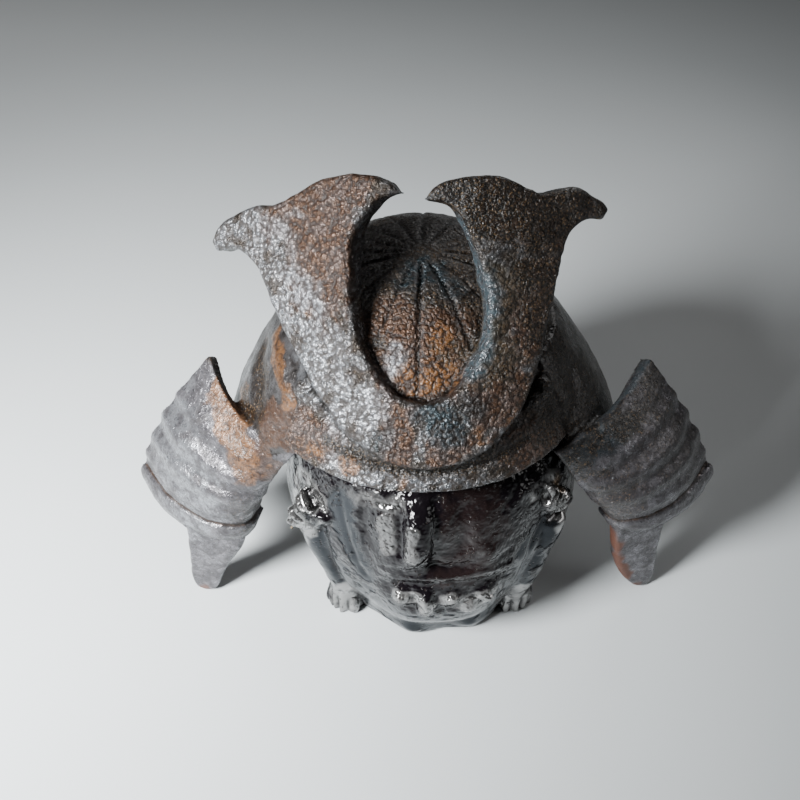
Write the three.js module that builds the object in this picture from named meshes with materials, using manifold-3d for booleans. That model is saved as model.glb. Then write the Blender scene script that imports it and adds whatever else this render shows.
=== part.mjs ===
// A fired-clay kabuto helmet resting on a relief pot. Millimetres, +Z up, front towards -Y.
// The origin lies on the ground, on the pot's flat base.
import * as THREE from "three";
import { mergeVertices } from "three/addons/utils/BufferGeometryUtils.js";
import { TessellateModifier } from "three/addons/modifiers/TessellateModifier.js";
import Module from "manifold-3d";

const wasm = await Module();
wasm.setup();

// The clearance between pieces, and how far a clearance runs on past a plate's edges, as a share of it.
const GAP = 0.3;
const PAST_EDGE = 0.012;
const DEGREE = Math.PI / 180;
const SILVER_GLAZE = { color: 0x8d8f90, roughness: 0.45, metalness: 0.3 };
const RUST_GLAZE = { color: 0x7a5b44, roughness: 0.5, metalness: 0.2 };
const CLAY = { color: 0x8a6a58, roughness: 0.7, metalness: 0 };
const BLACK_GLAZE = { color: 0x2b2a2c, roughness: 0.15, metalness: 0.6 };

// The crown: half-widths of its widest section, its height above that section, and its ribs.
const CROWN_X = -4;
const CROWN_SIDE = 73;
const CROWN_FRONT = 70;
const CROWN_BACK = 91;
const CROWN_WALL = 6;
const CROWN_RIM_Z = 131.3;
const CROWN_WIDEST_Z = 146;
const CROWN_TOP_Z = 211;
const CROWN_ROUNDNESS = 2;
const CROWN_BACK_FULLNESS = 0.35;
const CROWN_RIM_IN = 1.5;
const CROWN_RIM_SHARE = 0.2;
const CROWN_RIBS = 18;
const CROWN_GROOVE = 1.6;
const CROWN_BOSS = 14;
const CROWN_GROOVE_RUN_IN = 20;

// The visor: its ends as angles from the front (positive to the right), its lower edge and its lip.
const VISOR_ENDS = [-48, 56];
const VISOR_TOP_Z = 160;
const VISOR_WAIST_Z = 146;
const VISOR_EDGE_Z = 134;
const VISOR_END_RISE = 4;
const VISOR_EDGE_RADIUS = 82;
const VISOR_WALL = 5;
const VISOR_TOP_WALL = 2;
const VISOR_LIP = 2;
const VISOR_LIP_PLACE = 0.9;
const VISOR_LIP_WIDTH = 0.13;

// The neck guard: its lower edge by angle from the back (positive to the right), radius and height.
const GUARD_TOP_Z = 176;
const GUARD_WALL = 5;
const GUARD_TOP_WALL = 1.5;
const GUARD_SWELL = 0.75;
const GUARD_FOLDS = 15;
const GUARD_FOLD_DEPTH = 1.6;
const GUARD_EDGE = [
  { angle: -130, radius: 83, z: 129 },
  { angle: -108, radius: 98, z: 108 },
  { angle: -80, radius: 108, z: 92 },
  { angle: -40, radius: 112, z: 86 },
  { angle: 0, radius: 114, z: 84 },
  { angle: 40, radius: 113, z: 86 },
  { angle: 80, radius: 113, z: 93 },
  { angle: 105, radius: 103, z: 108 },
  { angle: 122, radius: 84, z: 131 },
];

// The crest: its foot, how it leans and bends, and half outlines as [across, up] from the foot.
const CREST_FOOT = [2.8, -87, 151.7];
const CREST_LEAN = 30;
const CREST_TILT = 6;
const CREST_BEND_RADIUS = 86;
const CREST_BEND_LIMIT = 31;
const CREST_THICKNESS = 13;
const CREST_BEVEL = 1.5;
const CREST_FACE = 34;
const CREST_LEFT = {
  outer: [[-1, 0], [-14, 2.5], [-29, 10], [-42, 21], [-53, 35], [-62, 50], [-70, 64], [-76, 76], [-83, 94]],
  hookBelow: [[-83, 94], [-87, 100], [-93, 104], [-100, 106], [-108, 105]],
  hookAbove: [[-111, 110], [-105, 116], [-93, 122], [-81, 124], [-71, 123]],
  top: [[-71, 123], [-62, 125], [-49, 130], [-37, 132], [-26, 132], [-16, 130], [-8, 127]],
  inside: [[-4, 122], [-11, 121], [-18, 117], [-24, 111], [-29, 103], [-31, 93], [-32, 78]],
  throat: [[-32, 78], [-30, 63], [-25, 50], [-18, 38], [-9, 31], [1, 29]],
};
const CREST_RIGHT = {
  outer: [[-1, 0], [13, 1], [27, 7], [40, 16], [50, 30], [57, 45], [62, 60], [66, 74], [69, 83]],
  hookBelow: [[69, 83], [73, 92], [79, 99], [87, 103], [95, 102]],
  hookAbove: [[99, 106], [95, 110], [88, 114], [79, 117], [69, 116]],
  top: [[69, 116], [61, 116], [49, 122], [39, 125], [29, 126], [18, 125], [11, 122]],
  inside: [[7, 118], [13, 117], [19, 114], [23, 108], [27, 98], [30, 87], [32, 73]],
  throat: [[32, 73], [31, 59], [26, 49], [19, 39], [11, 32], [1, 29]],
};

// A wing: three curves from the inner edge to the outer one. Each point is [x, y, z]. Its ribs run
// across, and a raised rim band closes its lower edge; places and widths are shares of its height.
const WING_WALL = 6;
const WING_RIBS = 4;
const WING_RIB_DEPTH = 1.1;
const WING_RIBS_END = 0.86;
const WING_RIM_DEPTH = 2.2;
const WING_RIM_PLACE = 0.95;
const WING_RIM_WIDTH = 0.07;
const WING_LEFT = {
  above: [[-62, -52, 129], [-83, -42, 130], [-97, -27, 133], [-107, -13, 141], [-113, -1, 147]],
  middle: [[-80, -42, 96], [-92, -48, 96], [-112, -42, 96], [-132, -26, 100], [-145, -4, 102]],
  below: [[-92, -24, 57], [-97, -39, 55], [-115, -41, 55], [-143, -23, 55], [-160, -1, 60]],
};
const WING_RIGHT = {
  above: [[63, -52, 132], [78, -43, 136], [94, -28, 139], [106, -10, 146], [114, 1, 149]],
  middle: [[82, -42, 97], [92, -46, 98], [112, -40, 99], [132, -22, 104], [143, 2, 106]],
  below: [[100, -20, 61], [106, -31, 60], [122, -31, 60], [146, -15, 61], [161, 3, 68]],
};

// A leg: a flat tongue down to the ground, drawn in its own plane as [across, up].
const LEG_THICKNESS = 9;
const LEG_BEVEL = 1.5;
const LEG_FACE = 30;
const LEG_LEFT = {
  place: [-127, -31, 1.1],
  turn: -8,
  lean: 3,
  outline: [[-2, 56], [-4, 30], [-6, 9], [-3, 0], [5, 0], [9, 4], [14, 17], [22, 33], [29, 46], [31, 58]],
};
const LEG_RIGHT = {
  place: [128, -20, 0.9],
  turn: 22,
  lean: 2,
  outline: [[3, 62], [4, 30], [6, 7], [4, 0], [-3, 0], [-8, 4], [-16, 15], [-23, 32], [-27, 48], [-28, 62]],
};

// The pot: its outer profile as [radius, z], its inside, and its relief. A bump lies at an angle from
// the front and a height, with its half-width, half-height and rise.
const POT_X = 3;
const POT_OUTSIDE = [
  [56, 0], [58, 6], [63, 18], [73, 40], [79.5, 64], [80.5, 82], [80, 104], [77, 118], [70, 131],
];
const POT_INSIDE = [
  [0, 8], [50, 8], [57, 18], [67, 40], [73.5, 66], [74, 104], [70, 116], [60, 125], [60, 132],
];
const POT_COLUMNS = 44;
const POT_ROWS = 22;
const POT_CROWDING = 0.65;
const POT_RELIEF = [
  { angle: -3, z: 101, wide: 8, tall: 22, rise: 9 },
  { angle: -13, z: 81, wide: 9, tall: 8, rise: 5 },
  { angle: 21, z: 84, wide: 10, tall: 9, rise: 5 },
  { angle: 9, z: 69, wide: 42, tall: 4, rise: 4 },
  { angle: -6.5, z: 37, wide: 16, tall: 19, rise: 8 },
  { angle: 17, z: 37, wide: 18, tall: 19, rise: 8 },
  { angle: -7, z: 2, wide: 13, tall: 12, rise: 6 },
  { angle: 28, z: 2, wide: 16, tall: 12, rise: 6 },
];

// A limb: its middle line from the fan down to the foot, and its [half-width, half-depth] on the way.
const LIMB_LEFT = {
  line: [[-58, -52, 80], [-55, -51, 68], [-49, -50, 50], [-44, -47, 30], [-43.5, -41, 13], [-44, -38, 0]],
  girth: [[9, 6], [9, 8], [9, 8], [8.5, 8], [8, 7], [12.5, 8]],
};
const LIMB_RIGHT = {
  line: [[67, -49, 86], [64, -49, 74], [59, -49, 56], [54, -47, 34], [52, -38, 13], [53, -34, 0]],
  girth: [[8, 6], [9, 8], [9, 8], [8.5, 8], [8, 7], [12.5, 8]],
};
const LIMB_COLUMNS = 16;
const LIMB_ROWS = 10;

// A fan: rows of points from its hub to its free edge, where its pleats are deepest.
const FAN_WALL = 4;
const FAN_PLEATS = 4;
const FAN_PLEAT_DEPTH = 1.3;
const FAN_LEFT = [
  [[-54, -62, 84], [-51, -65, 88], [-48, -67, 94]],
  [[-65, -52, 74], [-63, -59, 86], [-58, -61, 97]],
  [[-74, -39, 57], [-70, -46, 82], [-62, -53, 105]],
];
const FAN_RIGHT = [
  [[63, -58, 94], [63, -59, 97], [62, -60, 101]],
  [[71, -49, 89], [69, -54, 99], [64, -58, 107]],
  [[79, -34, 82], [75, -45, 99], [62, -59, 115]],
];

// Joins faces of three or four points into one closed surface that faces outwards.
function closed(points, faces) {
  const corners = [];
  for (const face of faces) {
    for (let i = 2; i < face.length; i++) {
      const triangle = [points[face[0]], points[face[i - 1]], points[face[i]]];
      const [a, b, c] = triangle;
      if (a.distanceTo(b) < 1e-3) continue;
      if (b.distanceTo(c) < 1e-3) continue;
      if (c.distanceTo(a) < 1e-3) continue;
      corners.push(...triangle);
    }
  }
  let volume = 0;
  for (let i = 0; i < corners.length; i += 3) {
    volume += corners[i].dot(new THREE.Vector3().crossVectors(corners[i + 1], corners[i + 2]));
  }
  if (volume < 0) corners.reverse();
  return new THREE.BufferGeometry().setFromPoints(corners);
}

// A plate between two surfaces, each given by its column and row.
function plate(outer, inner, columns, rows) {
  const across = columns + 1;
  const points = [];
  for (const side of [outer, inner]) {
    for (let j = 0; j <= rows; j++) {
      for (let i = 0; i <= columns; i++) points.push(side(i, j));
    }
  }
  const at = (side, i, j) => (side * (rows + 1) + j) * across + i;
  const faces = [];
  for (let i = 0; i < columns; i++) {
    for (let j = 0; j < rows; j++) {
      faces.push([at(0, i, j), at(0, i + 1, j), at(0, i + 1, j + 1), at(0, i, j + 1)]);
      faces.push([at(1, i, j + 1), at(1, i + 1, j + 1), at(1, i + 1, j), at(1, i, j)]);
    }
    faces.push([at(0, i + 1, 0), at(0, i, 0), at(1, i, 0), at(1, i + 1, 0)]);
    faces.push([at(0, i, rows), at(0, i + 1, rows), at(1, i + 1, rows), at(1, i, rows)]);
  }
  for (let j = 0; j < rows; j++) {
    faces.push([at(0, 0, j), at(0, 0, j + 1), at(1, 0, j + 1), at(1, 0, j)]);
    faces.push([at(0, columns, j + 1), at(0, columns, j), at(1, columns, j), at(1, columns, j + 1)]);
  }
  return closed(points, faces);
}

// The unit normal of a surface, on the side given by sign.
function normalOf(surface, u, v, sign) {
  const step = 1e-3;
  const alongU = surface(u + step, v).sub(surface(u - step, v));
  const alongV = surface(u, v + step).sub(surface(u, v - step));
  return alongU.cross(alongV).normalize().multiplyScalar(sign);
}

// A plate of the given wall behind a surface, embossed in front. A margin grows it on all sides, with
// one more step past each edge, to cut a clearance for it.
function walled(surface, look, margin = 0) {
  const { sign, wall, emboss = () => 0, columns, rows } = look;
  const steps = (count) => {
    const inside = Array.from({ length: count + 1 }, (_, i) => i / count);
    if (margin === 0) return inside;
    return [-PAST_EDGE, ...inside, 1 + PAST_EDGE];
  };
  const us = steps(columns);
  const vs = steps(rows);
  const offset = (i, j, depthAt) => {
    const [u, v] = [us[i], vs[j]];
    return surface(u, v).addScaledVector(normalOf(surface, u, v, sign), depthAt(u, v));
  };
  const outer = (i, j) => offset(i, j, (u, v) => emboss(u, v) + margin);
  const inner = (i, j) => offset(i, j, (u, v) => -wall(u, v) - margin);
  return solid(plate(outer, inner, us.length - 1, vs.length - 1));
}

// A closed skin over a surface that runs round in u and shrinks to a point at both ends of v.
function skin(surface, columns, rows) {
  const points = [];
  for (let j = 0; j <= rows; j++) {
    for (let i = 0; i < columns; i++) points.push(surface(i / columns, j / rows));
  }
  const at = (i, j) => j * columns + (i % columns);
  const faces = [];
  for (let i = 0; i < columns; i++) {
    for (let j = 0; j < rows; j++) faces.push([at(i, j), at(i + 1, j), at(i + 1, j + 1), at(i, j + 1)]);
  }
  return solid(closed(points, faces));
}

function solid(geometry) {
  const bare = geometry.clone();
  bare.deleteAttribute("normal");
  bare.deleteAttribute("uv");
  const merged = mergeVertices(bare, 1e-3);
  return new wasm.Manifold(
    new wasm.Mesh({
      numProp: 3,
      vertProperties: merged.attributes.position.array,
      triVerts: new Uint32Array(merged.index.array),
    }),
  );
}

function geometryOf(body) {
  const mesh = body.getMesh();
  const geometry = new THREE.BufferGeometry();
  geometry.setAttribute("position", new THREE.BufferAttribute(new Float32Array(mesh.vertProperties), 3));
  geometry.setIndex(new THREE.BufferAttribute(new Uint32Array(mesh.triVerts), 1));
  return geometry;
}

// The largest piece of a body once the cutters are taken out of it.
function cut(body, ...cutters) {
  let left = body;
  for (const cutter of cutters) left = left.subtract(cutter);
  const pieces = left.decompose();
  pieces.sort((a, b) => b.volume() - a.volume());
  return pieces[0];
}

// How much of a curve's end gives the direction in which it runs out.
const RUN_OUT = 0.02;

const vectors = (rows) => rows.map((row) => new THREE.Vector3(row[0], row[1], row[2]));
const smooth = (rows) => new THREE.CatmullRomCurve3(vectors(rows), false, "catmullrom", 0.5);

// A surface through rows of points: smooth along each row, and bent through the middle row.
function netSurface([above, middle, below]) {
  const curves = [above, middle, below].map(smooth);
  return (u, v) => {
    const [a, m, b] = curves.map((curve) => along(curve, u));
    const weights = [(1 - v) * (1 - 2 * v), 4 * v * (1 - v), v * (2 * v - 1)];
    return a.multiplyScalar(weights[0]).addScaledVector(m, weights[1]).addScaledVector(b, weights[2]);
  };
}

// A point on a curve, or on its straight run-out past either end.
function along(curve, t) {
  if (t >= 0 && t <= 1) return curve.getPoint(t);
  const [end, near] = t < 0 ? [0, RUN_OUT] : [1, 1 - RUN_OUT];
  const tip = curve.getPoint(end);
  return tip.clone().addScaledVector(tip.clone().sub(curve.getPoint(near)), Math.abs(t - end) / RUN_OUT);
}

const polar = (x, angle, radius, z) =>
  new THREE.Vector3(x + radius * Math.sin(angle * DEGREE), radius * Math.cos(angle * DEGREE), z);

// The crown's section is fuller towards the back; c is the cosine of the angle from the back.
const crownRoundness = (c) => CROWN_ROUNDNESS + CROWN_BACK_FULLNESS * Math.max(0, c);

// How far the crown's plain outside lies from its axis, at an angle from the back and a height.
function crownRadius(angle, z, grow = 0) {
  const [s, c] = [Math.sin(angle * DEGREE), Math.cos(angle * DEGREE)];
  const depth = (c > 0 ? CROWN_BACK : CROWN_FRONT) + grow;
  const radius = 1 / Math.hypot(s / (CROWN_SIDE + grow), c / depth);
  const up = Math.min(1, Math.max(0, (z - CROWN_WIDEST_Z) / (CROWN_TOP_Z + grow - CROWN_WIDEST_Z)));
  const down = Math.max(0, (CROWN_WIDEST_Z - z) / (CROWN_WIDEST_Z - CROWN_RIM_Z));
  const drawnIn = down ** 2 * (CROWN_RIM_IN + radius - CROWN_FRONT - grow);
  const roundness = crownRoundness(c);
  return radius * (1 - up ** roundness) ** (1 / roundness) - drawnIn;
}

// A point of the crown: down runs from 0 at the pole to 1 at the rim, with grooves between the ribs.
function crownPoint(u, down, grow, groove) {
  const angle = 360 * u;
  const roundness = crownRoundness(Math.cos(angle * DEGREE));
  const dome = 1 - CROWN_RIM_SHARE;
  const cap = Math.max(0, Math.cos(Math.min(1, down / dome) * 90 * DEGREE)) ** (2 / roundness);
  const drop = Math.max(0, down - dome) / CROWN_RIM_SHARE;
  const rise = cap * (CROWN_TOP_Z + grow - CROWN_WIDEST_Z);
  const z = CROWN_WIDEST_Z + rise - drop * (CROWN_WIDEST_Z - CROWN_RIM_Z);
  const reach = crownRadius(angle, z, grow);
  const clearOfPole = Math.min(1, Math.max(0, (reach - CROWN_BOSS) / CROWN_GROOVE_RUN_IN));
  const dent = groove * clearOfPole * Math.abs(Math.cos((angle * DEGREE * CROWN_RIBS) / 2)) ** 5;
  return polar(CROWN_X, angle, Math.max(0, reach - dent), z - dent * cap);
}

// The crown's full shape, closed flat at its rim or a little below it.
function crownLump(grow, groove, below, columns, rows) {
  const surface = (u, v) => {
    const point = crownPoint(u, Math.min(1, (v * rows) / (rows - 1)), grow, groove);
    if (v > 1 - 1.5 / rows) point.z -= below;
    return v === 1 ? point.set(CROWN_X, 0, point.z) : point;
  };
  return skin(surface, columns, rows);
}

function visorSurface(u, v) {
  const angle = 180 - (VISOR_ENDS[0] + (VISOR_ENDS[1] - VISOR_ENDS[0]) * u);
  const top = crownRadius(angle, VISOR_TOP_Z) + GAP + VISOR_TOP_WALL;
  const waist = crownRadius(angle, VISOR_WAIST_Z) + GAP + VISOR_WALL * 0.9;
  const edge = VISOR_EDGE_RADIUS;
  const rise = VISOR_END_RISE * Math.abs(2 * u - 1) ** 3;
  const z = VISOR_TOP_Z + (VISOR_EDGE_Z + rise - VISOR_TOP_Z) * v;
  return polar(CROWN_X, angle, (1 - v) ** 2 * top + 2 * v * (1 - v) * waist + v * v * edge, z);
}

const visorLook = {
  sign: 1,
  wall: (u, v) => VISOR_TOP_WALL + (VISOR_WALL - VISOR_TOP_WALL) * Math.min(1, v * 3),
  emboss: (u, v) => VISOR_LIP * Math.exp(-(((v - VISOR_LIP_PLACE) / VISOR_LIP_WIDTH) ** 2)),
  columns: 20,
  rows: 7,
};

const guardEdge = smooth(GUARD_EDGE.map((e) => [e.angle, e.radius, e.z]));

function guardSurface(u, v) {
  const { x: angle, y: radius, z: edgeZ } = along(guardEdge, u);
  const top = crownRadius(angle, GUARD_TOP_Z) + GAP + GUARD_TOP_WALL;
  const waist = top + GUARD_SWELL * (radius - top);
  const reach = (1 - v) ** 2 * top + 2 * v * (1 - v) * waist + v * v * radius;
  const fold = GUARD_FOLD_DEPTH * v * Math.cos(angle * DEGREE * GUARD_FOLDS);
  return polar(CROWN_X, angle, reach + fold, GUARD_TOP_Z + (edgeZ - GUARD_TOP_Z) * v);
}

const guardLook = {
  sign: 1,
  wall: (u, v) => GUARD_TOP_WALL + (GUARD_WALL - GUARD_TOP_WALL) * Math.min(1, v * 3),
  columns: 38,
  rows: 6,
};

const splineThrough = (rows) => {
  const curve = new THREE.SplineCurve(rows.map(([x, y]) => new THREE.Vector2(x, y)));
  return curve.getPoints((rows.length - 1) * 2);
};

function hornOutline(horn) {
  const stretches = [horn.outer, horn.hookBelow, horn.hookAbove, horn.top, horn.inside, horn.throat];
  return stretches.flatMap(splineThrough);
}

// A flat outline given some thickness and rounded edges, cut into small faces so that it can bend.
function slab(outline, thickness, bevel, faceSize) {
  const kept = outline.filter((p, i) => p.distanceTo(outline[(i + 1) % outline.length]) > 0.05);
  const cast = new THREE.ExtrudeGeometry(new THREE.Shape(kept), {
    depth: thickness - 2 * bevel,
    bevelThickness: bevel,
    bevelSize: bevel,
    bevelOffset: -bevel,
    bevelSegments: 1,
    curveSegments: 1,
  });
  cast.translate(0, 0, bevel);
  return new TessellateModifier(faceSize, 12).modify(cast);
}

function reshape(geometry, move) {
  const places = geometry.getAttribute("position");
  const point = new THREE.Vector3();
  for (let i = 0; i < places.count; i++) {
    const moved = move(point.fromBufferAttribute(places, i));
    places.setXYZ(i, moved.x, moved.y, moved.z);
  }
  return solid(geometry);
}

function crestBody() {
  const outline = [...hornOutline(CREST_LEFT), ...hornOutline(CREST_RIGHT).reverse()];
  const [tilt, lean] = [CREST_TILT * DEGREE, CREST_LEAN * DEGREE];
  const forward = new THREE.Vector3(0, -Math.cos(lean), Math.sin(lean));
  const upward = new THREE.Vector3(0, Math.sin(lean), Math.cos(lean));
  return reshape(slab(outline, CREST_THICKNESS, CREST_BEVEL, CREST_FACE), (p) => {
    const across = p.x * Math.cos(tilt) - p.y * Math.sin(tilt);
    const up = p.x * Math.sin(tilt) + p.y * Math.cos(tilt);
    const limit = CREST_BEND_LIMIT * DEGREE;
    const turn = Math.min(limit, Math.max(-limit, across / CREST_BEND_RADIUS));
    const run = across - turn * CREST_BEND_RADIUS;
    const reach = CREST_BEND_RADIUS - CREST_THICKNESS + p.z;
    return new THREE.Vector3(...CREST_FOOT)
      .add(new THREE.Vector3(reach * Math.sin(turn) + run * Math.cos(turn), 0, 0))
      .addScaledVector(forward, reach * Math.cos(turn) - CREST_BEND_RADIUS - run * Math.sin(turn))
      .addScaledVector(upward, up);
  });
}

const wingLook = (sign) => ({
  sign,
  wall: () => WING_WALL,
  emboss: (u, v) => {
    const fade = Math.min(1, 4 * v) * Math.min(1, Math.max(0, 6 * (WING_RIBS_END - v)));
    const ribs = fade * WING_RIB_DEPTH * (0.5 - 0.5 * Math.cos(2 * Math.PI * WING_RIBS * v));
    return ribs + WING_RIM_DEPTH * Math.exp(-(((v - WING_RIM_PLACE) / WING_RIM_WIDTH) ** 2));
  },
  columns: 12,
  rows: 14,
});

function legBody({ place, turn, lean, outline }) {
  const flat = slab([...splineThrough(outline)], LEG_THICKNESS, LEG_BEVEL, LEG_FACE);
  flat.translate(0, 0, -LEG_THICKNESS / 2);
  flat.rotateX(90 * DEGREE + lean * DEGREE);
  flat.rotateZ(turn * DEGREE);
  flat.translate(...place);
  return solid(flat);
}

const potSide = new THREE.SplineCurve(POT_OUTSIDE.map(([r, z]) => new THREE.Vector2(r, z)));

// The pot's full shape with its relief, grown by a margin.
function potLump(margin) {
  const surface = (u, v) => {
    const around = 2 * Math.PI * (u - 0.5);
    const angle = around - POT_CROWDING * Math.sin(around);
    const up = Math.min(1, Math.max(0, (v * POT_ROWS - 1) / (POT_ROWS - 2)));
    const { x: radius, y: z } = potSide.getPoint(up);
    if (v === 0 || v === 1) return new THREE.Vector3(POT_X, 0, z);
    let reach = radius + margin;
    for (const bump of POT_RELIEF) {
      const aside = ((angle - bump.angle * DEGREE) * radius) / bump.wide;
      const above = (z - bump.z) / bump.tall;
      reach += bump.rise * Math.exp(-(aside ** 2) - above ** 4);
    }
    return new THREE.Vector3(POT_X + reach * Math.sin(angle), -reach * Math.cos(angle), z);
  };
  return skin(surface, POT_COLUMNS, POT_ROWS);
}

function potHollow() {
  const profile = POT_INSIDE.map(([r, z]) => new THREE.Vector2(r, z));
  profile.push(new THREE.Vector2(0, profile[profile.length - 1].y));
  return solid(new THREE.LatheGeometry(profile, 32).rotateX(90 * DEGREE).translate(POT_X, 0, 0));
}

// A limb with level oval sections; its last section stands flat on the ground.
function limbBody({ line, girth }) {
  const middle = smooth(line);
  const size = smooth(girth.map(([width, depth]) => [width, depth, 0]));
  const surface = (u, v) => {
    const t = Math.min(1, Math.max(0, (v * LIMB_ROWS - 1) / (LIMB_ROWS - 2)));
    const centre = middle.getPoint(t);
    const girthHere = size.getPoint(t);
    if (v === 0 || v === 1) return centre;
    const outward = new THREE.Vector3(centre.x - POT_X, centre.y, 0).normalize();
    const sideways = new THREE.Vector3(-outward.y, outward.x, 0);
    return centre
      .addScaledVector(sideways, girthHere.x * Math.cos(2 * Math.PI * u))
      .addScaledVector(outward, girthHere.y * Math.sin(2 * Math.PI * u));
  };
  return skin(surface, LIMB_COLUMNS, LIMB_ROWS);
}

const fanLook = (sign) => ({
  sign,
  wall: () => FAN_WALL,
  emboss: (u, v) => FAN_PLEAT_DEPTH * v * Math.cos(2 * Math.PI * FAN_PLEATS * u),
  columns: 14,
  rows: 3,
});

const crownRoom = crownLump(GAP, CROWN_GROOVE, GAP, CROWN_RIBS * 3, 12);
const crownHollow = crownLump(-CROWN_WALL, 0, 1, 32, 9);
const crown = crownLump(0, CROWN_GROOVE, 0, CROWN_RIBS * 3, 12).subtract(crownHollow);
const pot = potLump(0).subtract(potHollow());
const potRoom = potLump(GAP);
const visorRoom = walled(visorSurface, visorLook, GAP);
const guardRoom = walled(guardSurface, guardLook, GAP);
const visor = cut(walled(visorSurface, visorLook), crownRoom);
const guard = cut(walled(guardSurface, guardLook), crownRoom, visorRoom);

const bodies = {
  crown: [crown, SILVER_GLAZE],
  visor: [visor, SILVER_GLAZE],
  crest: [cut(crestBody(), crownRoom, visorRoom, guardRoom), RUST_GLAZE],
  neck_guard: [guard, SILVER_GLAZE],
  pot_body: [pot, BLACK_GLAZE],
};

// A side's wing and leg, and the limb and fan on the pot below it.
function addSide(side, { wing, leg, limb, fan, sign }) {
  const wingNet = netSurface([wing.above, wing.middle, wing.below]);
  const fanNet = netSurface(fan);
  const wingRoom = walled(wingNet, wingLook(sign), GAP);
  const fanRoom = walled(fanNet, fanLook(sign), GAP);
  const wingBody = cut(walled(wingNet, wingLook(sign)), guardRoom, visorRoom, crownRoom);
  bodies[`${side}_wing`] = [wingBody, SILVER_GLAZE];
  bodies[`${side}_leg`] = [cut(legBody(leg), wingRoom), CLAY];
  bodies[`pot_${side}_limb`] = [cut(limbBody(limb), potRoom, fanRoom), BLACK_GLAZE];
  bodies[`pot_${side}_fan`] = [cut(walled(fanNet, fanLook(sign)), potRoom), BLACK_GLAZE];
}

addSide("left", { wing: WING_LEFT, leg: LEG_LEFT, limb: LIMB_LEFT, fan: FAN_LEFT, sign: 1 });
addSide("right", { wing: WING_RIGHT, leg: LEG_RIGHT, limb: LIMB_RIGHT, fan: FAN_RIGHT, sign: -1 });

const group = new THREE.Group();
for (const [name, [body, glaze]] of Object.entries(bodies)) {
  const mesh = new THREE.Mesh(geometryOf(body), new THREE.MeshStandardMaterial(glaze));
  mesh.name = name;
  group.add(mesh);
}

export default group;
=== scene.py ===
# A fired-clay helmet with a horned crest, resting on a dark relief pot, lit softly from the left.
import math

import bmesh
import bpy
import numpy as np
from mathutils import Matrix, Vector
from mathutils.bvhtree import BVHTree


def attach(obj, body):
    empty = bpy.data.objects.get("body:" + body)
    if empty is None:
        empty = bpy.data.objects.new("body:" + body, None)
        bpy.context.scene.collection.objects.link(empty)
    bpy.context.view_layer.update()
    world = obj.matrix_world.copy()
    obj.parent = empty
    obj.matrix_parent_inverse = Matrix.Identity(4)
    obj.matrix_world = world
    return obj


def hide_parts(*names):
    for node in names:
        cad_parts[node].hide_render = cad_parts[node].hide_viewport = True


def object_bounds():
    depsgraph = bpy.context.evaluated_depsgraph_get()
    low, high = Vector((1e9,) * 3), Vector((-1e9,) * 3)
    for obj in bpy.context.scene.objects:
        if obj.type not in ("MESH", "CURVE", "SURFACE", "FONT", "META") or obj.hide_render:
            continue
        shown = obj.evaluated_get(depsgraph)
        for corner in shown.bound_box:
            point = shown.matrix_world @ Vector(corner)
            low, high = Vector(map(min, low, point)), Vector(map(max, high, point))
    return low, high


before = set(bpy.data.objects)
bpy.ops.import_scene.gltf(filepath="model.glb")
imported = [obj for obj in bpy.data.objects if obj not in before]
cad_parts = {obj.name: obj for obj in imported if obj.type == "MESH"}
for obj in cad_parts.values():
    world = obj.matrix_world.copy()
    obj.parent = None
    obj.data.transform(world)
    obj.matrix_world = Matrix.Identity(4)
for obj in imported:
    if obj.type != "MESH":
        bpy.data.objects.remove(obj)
cadBox = [list(corner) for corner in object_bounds()]
mm = 0.001
boxMargin = 0.05  # millimetres that every skin stays inside the frame's box
print("frame loaded:", len(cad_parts), "nodes")


class Wire:
    # a shader socket that can take part in sums, so maths reads as maths

    def __init__(self, shop, socket):
        self.shop = shop
        self.socket = socket

    def sum(self, operation, a, b):
        return self.shop.node("ShaderNodeMath", {"operation": operation}, {0: a, 1: b})

    def __add__(self, other):
        return self.sum("ADD", self, other)

    def __radd__(self, other):
        return self.sum("ADD", other, self)

    def __sub__(self, other):
        return self.sum("SUBTRACT", self, other)

    def __rsub__(self, other):
        return self.sum("SUBTRACT", other, self)

    def __mul__(self, other):
        return self.sum("MULTIPLY", self, other)

    def __rmul__(self, other):
        return self.sum("MULTIPLY", other, self)

    def over(self, low, high):
        # 0 below low, 1 above high, smooth between
        settings = {"interpolation_type": "SMOOTHSTEP"}
        return self.shop.node("ShaderNodeMapRange", settings, {0: self, 1: low, 2: high, 3: 0.0, 4: 1.0})


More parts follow.
